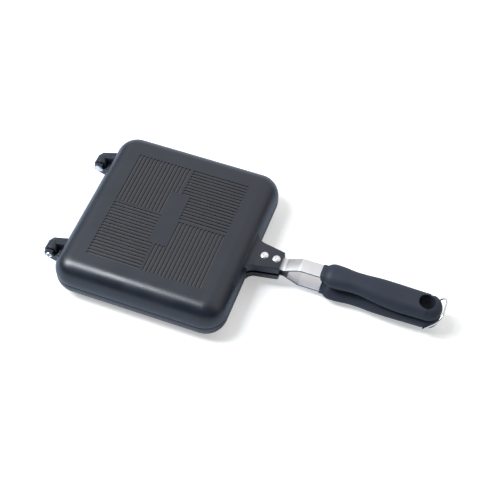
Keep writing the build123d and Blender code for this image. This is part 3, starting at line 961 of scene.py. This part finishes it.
@dataclass(frozen=True)
class HingeRivet(Piece):
    """Tubular hinge rivet: a domed inner head, and a rolled ring round an open bore at its outer end."""

    hinge: Hinge
    half_length: float = 7.85  # half the length between its head and its roll
    radius: float = 2.2  # radius of the shank
    head: Pair = (3.8, 1.3)  # radius and height of the head
    roll: Pair = (3.0, 0.8)  # outer radius and height of the roll
    bore: Pair = (1.3, 3.0)  # radius and depth of the bore
    making, slot, sharp = "turned", Slot.RIVET, 50.0

    @property
    def node(self) -> str:
        """Name of the CAD node that it replaces."""
        return f"hinge_rivet_{self.hinge.name.lower()}"

    @property
    def body(self) -> str:
        """It rides on the lower half."""
        return Half.LOWER.body

    def profile(self) -> Array:
        """Radius and distance along the axis: ball's cap, shank, half round roll, bore."""
        ball = (self.head[0] ** 2 + self.head[1] ** 2) / (2 * self.head[1])
        radius = np.linspace(0.0, self.head[0], 14)
        cap = self.half_length + self.head[1] - ball + np.sqrt(ball ** 2 - radius ** 2)
        end, turn = -self.half_length, arc(0, 180, 12)
        middle, reach = (self.roll[0] + self.bore[0]) / 2, (self.roll[0] - self.bore[0]) / 2
        lip = pairs(middle + reach * np.cos(turn), end - self.roll[1] * np.sin(turn))
        shank = [(self.radius, self.half_length), (self.radius, end)]
        well = [(self.bore[0], end + self.bore[1]), (0.0, end + self.bore[1])]
        return joined(pairs(radius, cap), shank, lip, well)

    def forms(self) -> list[list[Sheet]]:
        """The rivet, turned."""
        return [[Sheet(turned(self.profile(), steps=40), True)]]

    def place(self, points: Array) -> Array:
        """Lays the rivet along Y on the hinge axis, with its head towards the other hinge."""
        head_side = 1.0 if self.hinge is Hinge.NEAR else -1.0
        return points[..., [0, 2, 1]] * (1.0, head_side, 1.0) + (HINGE_X, self.hinge.value, PARTING_PLANE)


@dataclass(frozen=True)
class Bail(Piece):
    """Bent wire that latches the grips: two short ends, two legs and a bar, leaning back open."""

    pivot: float = -9.0  # height of its pivot in the lower grip
    leg: float = 12.85  # Y of the middle of each leg
    end: float = 8.1  # Y where each short end stops
    height: float = 24.3  # from the pivot to the middle of the bar
    bends: Pair = (1.6, 9.3)  # radii of the bend at the pivot and of the shoulder
    wire: float = 0.75  # radius of the wire
    lean: float = 31.0  # degrees that the open bail leans back
    node, body, making, slot, sharp = "latch_bail", "latch", "wire", Slot.WIRE, 60.0

    def forms(self) -> list[list[Sheet]]:
        """The wire, bent in its own plane and leaned back round the pivot."""
        side = np.array([(self.end, 0.0), (self.leg, 0.0), (self.leg, self.height)])
        corners = joined(side * (-1.0, 1.0), side[::-1])
        flat = bent_path(corners, (*self.bends, *self.bends[::-1]), steps=14)
        lean = math.radians(self.lean)
        rising, square = (math.sin(lean), 0.0, math.cos(lean)), (math.cos(lean), 0.0, -math.sin(lean))
        path = (BAIL_X, 0.0, self.pivot) + flat[:, 1:] * rising + flat[:, :1] * (0.0, 1.0, 0.0)
        return [tube(path, np.array(square), self.wire, steps=20)]

    def place(self, points: Array) -> Array:
        """Lifts the wire from the parting plane to the shared frame."""
        return points + (0.0, 0.0, PARTING_PLANE)


# --- grips ----------------------------------------------------------------------------------
@dataclass(frozen=True)
class GripForm:
    """A moulded grip: nearly round behind its collar, flatter and wider towards its round tail."""

    front: float = 137.0  # X of the collar's front face at the top
    nose: float = 139.2  # X where the swelling starts
    corner: float = 8.5  # radius of the swelling's front, seen from above
    stations: tuple[Pair, ...] = ((149.8, 13.0), (168.5, 11.7), (190.0, 12.6), (229.0, 12.0))  # X, half width
    tail: float = 12.0  # radius of the round tail, whose middle is the last station
    slimming: float = 2.4  # how much narrower the round part is than the flat form
    round_span: Pair = (163.0, 211.0)  # X where the round part starts to change and where it is flat
    axis: Pair = (5.55, 9.95)  # height of the widest line in the flat part and in the round part
    top_round: float = 8.2  # horizontal rounding of the flat part's top edges
    under_round: float = 5.3  # horizontal rounding beside its parting face
    view: Pair = (0.8, 0.6)  # direction across the section in which the form keeps one reach
    reach: float = 5.0  # what that reach exceeds view[0] * half width by
    hole: Pair = (227.4, 7.0)  # X and radius of the hanging hole
    hole_turn: float = 52.0  # angle on the hole's edge up to which columns run square to the grip
    seat: Pair = (1.3, 0.6)  # half width of the wire's seat, and its depth
    collar: Triple = (8.3, 13.4, 5.3)  # half width, top and top rounding of the collar
    collar_foot: float = 1.5  # rounding of the collar's lower edges
    collar_low: float = 7.6  # height of the collar's underside
    collar_fillet: float = 3.2  # rounding of the collar's front corners, seen from above
    collar_end: float = 142.5  # X where the collar ends inside the swelling
    lean: float = 1.2  # how far the collar's front falls back towards the parting plane
    softening: float = 0.4  # rounding of the collar's front edges

    @property
    def shoulder(self) -> float:
        """X where the swelling's front has reached its full width."""
        return self.nose + self.corner

    @property
    def wide(self) -> float:
        """Half width there."""
        return float(self.half(np.array(self.shoulder)))

    def roundness(self, x: Array) -> Array:
        """1 in the round part, 0 in the flat part, with a smooth step between."""
        share = np.clip((x - self.round_span[0]) / (self.round_span[1] - self.round_span[0]), 0.0, 1.0)
        return 1 - share ** 2 * (3 - 2 * share)

    def flat_half(self, x: Array) -> Array:
        """Half width of the flat form: between stations, two parabolas that meet halfway."""
        width = np.full_like(x, self.stations[0][1])
        for (begin, low), (end, high) in zip(self.stations, self.stations[1:]):
            share = np.clip((x - begin) / (end - begin), 0.0, 1.0)
            eased = np.where(share < 0.5, 2 * share ** 2, 1 - 2 * (1 - share) ** 2)
            width = np.where(x > begin, low + (high - low) * eased, width)
        return width

    def half(self, x: Array) -> Array:
        """Half width at the widest line."""
        return self.flat_half(x) - self.slimming * self.roundness(x)

    def heights(self, x: Array, inset: Array, sunk: Array) -> tuple[Array, Array]:
        """Heights of the underside and of the top over a point at an inset from the outline.

        Each is a quarter ellipse from the widest line. The top's rise b keeps the reach S of the
        section along the viewing direction: (0.6 b)^2 = (S - 0.8 (w - a) - 0.6 axis)^2 - (0.8 a)^2.

        Args:
            x: Place along the grip.
            inset: Distance from the outline.
            sunk: Depth of the wire's seat there.

        Returns:
            The two heights over the parting plane.
        """
        share, width = self.roundness(x), self.half(x)
        axis = self.axis[0] + (self.axis[1] - self.axis[0]) * share
        over = self.top_round + (width - self.top_round) * share
        under = self.under_round + (width - self.under_round) * share
        out, up = self.view
        total = out * self.flat_half(x) + self.reach - out * (width - over) - up * axis
        rise = np.sqrt(total ** 2 - (out * over) ** 2) / up
        bend = np.clip((over - inset) / (over - sunk), 0.0, 1.0)
        top = axis + (rise - sunk) * np.sqrt(1 - bend ** 2)
        bend = np.clip((under - inset) / under, 0.0, 1.0)
        return axis - (axis - HALF_GAP) * np.sqrt(1 - bend ** 2), top

    def columns(self) -> tuple[Array, Array, Array]:
        """Outline points of one side from nose to tail, their inner ends, and the seat's depth."""
        shoulder, wide, tail_x, (hole_x, hole) = self.shoulder, self.wide, self.stations[-1][0], self.hole
        nose = pairs(np.full(4, self.nose), np.linspace(0.0, wide - self.corner, 5)[:-1])
        turn = arc(180, 90, 12)[:-1]
        front = pairs(shoulder + self.corner * np.cos(turn), wide - self.corner * (1 - np.sin(turn)))
        lead = joined(nose, front)
        reach, depth = self.seat
        lips = (BAIL_X - reach - SLIVER, BAIL_X - reach, BAIL_X + reach, BAIL_X + reach + SLIVER)
        around = hole_x + hole * np.cos(arc(180, self.hole_turn, 22))
        x = np.sort(joined(np.linspace(shoulder, hole_x - hole, 44)[:-1], around, lips))
        sunk = np.where((x > lips[0]) & (x < lips[3]), depth, 0.0)
        tail = np.sqrt(np.clip(self.tail ** 2 - (x - tail_x) ** 2, 0.0, None))
        side = np.where(x > tail_x, tail, self.half(x))
        inner = np.sqrt(np.clip(hole ** 2 - (x - hole_x) ** 2, 0.0, None))
        last = math.acos((x[-1] - tail_x) / self.tail)
        fan = arc(math.degrees(last), 0, 14)[1:]
        outer = joined(lead, pairs(x, side - sunk), ring(tail_x, self.tail, fan))
        middle = ring(hole_x, hole, fan * math.acos((x[-1] - hole_x) / hole) / last)
        ends = joined(np.broadcast_to((shoulder, 0.0), lead.shape), pairs(x, inner), middle)
        return outer, ends, joined(np.zeros(len(lead)), sunk, np.zeros(len(fan)))

    def body(self) -> list[Sheet]:
        """The grip behind its collar: rows from the underside's middle round the outline to the top's."""
        outer, ends, sunk = self.columns()
        share = (1 - np.cos(arc(0, 90, 16)))[:, None]
        flat = outer + share[..., None] * (ends - outer)
        x, y = flat[..., 0], flat[..., 1]
        tail_x, lead = self.stations[-1][0], outer[:, 0] < self.shoulder - SLIVER
        inset = np.where(x < tail_x, self.half(x) - y, self.tail - np.hypot(x - tail_x, y))
        inset = np.maximum(np.where(lead, share * self.wide, inset), sunk)
        low, high = self.heights(np.maximum(x, self.shoulder), inset, sunk)
        half = joined(np.dstack((flat, low))[::-1], np.dstack((flat, high)))
        first = int(np.argmin(np.abs(ends[:, 0] - (self.hole[0] - self.hole[1])) + (ends[:, 1] > 0)))
        rim = np.stack((half[0, first:], half[-1, first:]))
        loops = [joined(side, side[:, -2:0:-1] * (1.0, -1.0, 1.0), axis=1) for side in (half, rim)]
        return [Sheet(loop, True) for loop in loops]

    def collar_arch(self) -> list[Sheet]:
        """The collar round the strap: an arch, whose front leans and has rounded corners."""
        half, top, corner = self.collar
        (inward, up), (aside, down) = rolled(self.collar_foot, arc(90, 0, 6)), rolled(corner, arc(0, 90, 8))
        right = joined(pairs(half - inward, self.collar_low + up), pairs(half - aside, top - down))
        loop, fillet = joined(right, right[::-1] * (-1.0, 1.0)), self.collar_fillet

        def place(points: Array) -> Array:
            """Lays the arch across the grip and shapes its front."""
            past = np.clip(np.abs(points[..., 0]) - half + fillet, 0.0, fillet)
            rounded = fillet - np.sqrt(fillet ** 2 - past ** 2)
            lean = (self.lean * (1 - points[..., 2] / top) + rounded) * (points[..., 1] < self.nose)
            return spots(points[..., 1] + lean, points[..., 0], points[..., 2])

        return [sheet.moved(place) for sheet in slab(loop, (self.front, self.collar_end), self.softening)]


@dataclass(frozen=True)
class Grip(Piece):
    """One of the two grips."""

    half: Half
    form: GripForm = GripForm()
    part, making, slot, sharp = "handle", "moulding", Slot.GRIP, 40.0

    def forms(self) -> list[list[Sheet]]:
        """The body, and the collar whose end lies inside it."""
        return [self.form.body(), self.form.collar_arch()]


# --- studio ---------------------------------------------------------------------------------
@dataclass(frozen=True)
class Studio:
    """Camera, pale floor, lamp and surroundings, with places and sizes in metres."""

    lens: float = 75.87  # focal length in millimetres
    sensor: float = 36.0  # width of the sensor in millimetres
    clip: Pair = (0.05, 50.0)  # nearest and farthest distance that is seen
    stand: Triple = (0.2361, -0.4847, 0.7584)  # place of the camera
    right: Triple = (0.93991, 0.34102, 0.01689)  # direction of the picture's right side
    upward: Triple = (-0.28845, 0.76663, 0.57365)  # direction of the picture's upper side
    floor_half: float = 6.0  # half the floor's side
    floor_colour: Triple = (0.84, 0.84, 0.84)  # albedo of the floor
    mirrored_colour: Triple = (0.54, 0.61, 0.74)  # the floor's albedo as the object's sides mirror it
    floor_glow: Pair = (0.12, 0.30)  # glow where it is seen or mirrored, and more of it where it is seen
    lamp: Triple = (-0.71, -0.20, 1.12)  # middle of the softbox
    lamp_aim: Triple = (0.0, -0.07, 0.02)  # the point that it faces
    lamp_size: Pair = (0.40, 0.84)  # its two sides
    lamp_power: float = 21.5  # in watts
    lamp_colour: Triple = (0.90, 0.96, 1.0)  # its tint
    room: tuple[Pair, ...] = ((0.0, 1.0), (0.12, 1.0), (0.26, 0.64), (0.50, 0.78), (0.70, 1.0), (0.82, 0.94),
                              (0.92, 0.70), (1.0, 0.60))  # heights of directions, and the light from there
    front_span: Pair = (-0.45, 0.25)  # Y of directions from the dark front to the bright back
    front_left: float = 0.08  # share of the light that the front keeps above the horizon
    above_span: Pair = (0.12, 0.26)  # heights of directions over which the front darkens
    side_span: Pair = (0.35, 0.85)  # X of directions from the middle to a darkened side
    side_heights: Pair = (0.10, 0.45)  # heights of directions over which the sides brighten again
    side_lost: float = 0.75  # share of the light that the sides lose next to the horizon

    def camera(self) -> None:
        """Sets the camera."""
        data = bpy.data.cameras.new("camera")
        data.lens, data.sensor_width = self.lens, self.sensor
        data.clip_start, data.clip_end = self.clip
        right = Vector(self.right).normalized()
        back = right.cross(Vector(self.upward)).normalized()
        turn = Matrix((right, back.cross(right), back)).transposed().to_4x4()
        camera = linked("camera", data)
        camera.matrix_world = Matrix.Translation(self.stand) @ turn
        bpy.context.scene.camera = camera

    def softbox(self) -> None:
        """Hangs the rectangular soft lamp."""
        data = bpy.data.lights.new("overhead_softbox", "AREA")
        data.shape, data.energy, data.color = "RECTANGLE", self.lamp_power, self.lamp_colour
        data.size, data.size_y = self.lamp_size
        lamp = linked(data.name, data)
        lamp.location = self.lamp
        lamp.rotation_euler = (Vector(self.lamp_aim) - Vector(self.lamp)).to_track_quat("-Z", "Y").to_euler()

    def floor(self) -> None:
        """Lays the pale floor."""
        half = self.floor_half
        mesh = bpy.data.meshes.new("floor")
        corners = [(-half, -half, 0.0), (half, -half, 0.0), (half, half, 0.0), (-half, half, 0.0)]
        mesh.from_pydata(corners, [], [(0, 1, 2, 3)])
        floor = linked("floor", mesh)
        material, desk, shader = material_desk("pale_floor")
        path = desk.add("ShaderNodeLightPath").outputs
        seen, mirrored = path["Is Camera Ray"], path["Is Glossy Ray"]
        albedo = desk.blended(mirrored, (*self.floor_colour, 1.0), (*self.mirrored_colour, 1.0))
        either = desk.maths("MAXIMUM", seen, desk.maths("MAXIMUM", mirrored, path["Is Transmission Ray"]))
        glow = desk.maths("ADD", desk.times(either, self.floor_glow[0]), desk.times(seen, self.floor_glow[1]))
        desk.put(shader, {"Base Color": albedo, "Roughness": 0.9, "Specular IOR Level": 0.1,
                          "Emission Color": (1.0, 1.0, 1.0, 1.0), "Emission Strength": glow})
        mesh.materials.append(material)

    def surroundings(self) -> None:
        """Lights the room by direction, darker at its front and, near the horizon, at its sides."""
        world = bpy.data.worlds.new("studio_room")
        world.use_nodes = True
        bpy.context.scene.world = world
        desk = NodeDesk(world.node_tree)
        parts = desk.axes(desk.place("Generated"))
        ramp = desk.put(desk.add("ShaderNodeValToRGB"), {"Fac": parts["Z"]})
        stops = ramp.color_ramp.elements
        for index, (height, level) in enumerate(self.room):
            stop = stops[index] if index < 2 else stops.new(height)
            stop.position, stop.color = height, (level, level, level, 1.0)
        front = desk.ranged(parts["Y"], self.front_span, (self.front_left, 1.0))
        above = desk.ranged(parts["Z"], self.above_span)
        shade = desk.maths("ADD", desk.times(above, desk.maths("SUBTRACT", front, 1.0)), 1.0)
        sides = desk.ranged(desk.size(parts["X"]), self.side_span)
        lost = desk.times(sides, desk.ranged(parts["Z"], self.side_heights, (self.side_lost, 0.0)))
        shade = desk.times(shade, desk.maths("SUBTRACT", 1.0, lost))
        desk.put(world.node_tree.nodes["Background"], {"Color": ramp.outputs["Color"], "Strength": shade})

    def build(self) -> None:
        """Sets up everything round the object."""
        bpy.context.scene.view_settings.view_transform = "Standard"
        self.camera()
        self.floor()
        self.surroundings()
        self.softbox()
        LOG.info("studio: camera, floor, surroundings and softbox")


def main() -> None:
    """Builds the scene in order and reports each piece."""
    logging.basicConfig(level=logging.INFO, format="%(name)s: %(message)s")
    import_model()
    Studio().build()
    effects = SurfaceEffects()
    finishes = {slot: finish.make(effects) for slot, finish in FINISHES.items()}
    pieces = [kind(half) for kind in (Pan, Strap, LugRivets, Grip) for half in Half]
    pieces += [HingeRivet(hinge) for hinge in Hinge] + [Bail()]
    for piece in pieces:
        piece.build(finishes[piece.slot])


if __name__ == "__main__":
    main()
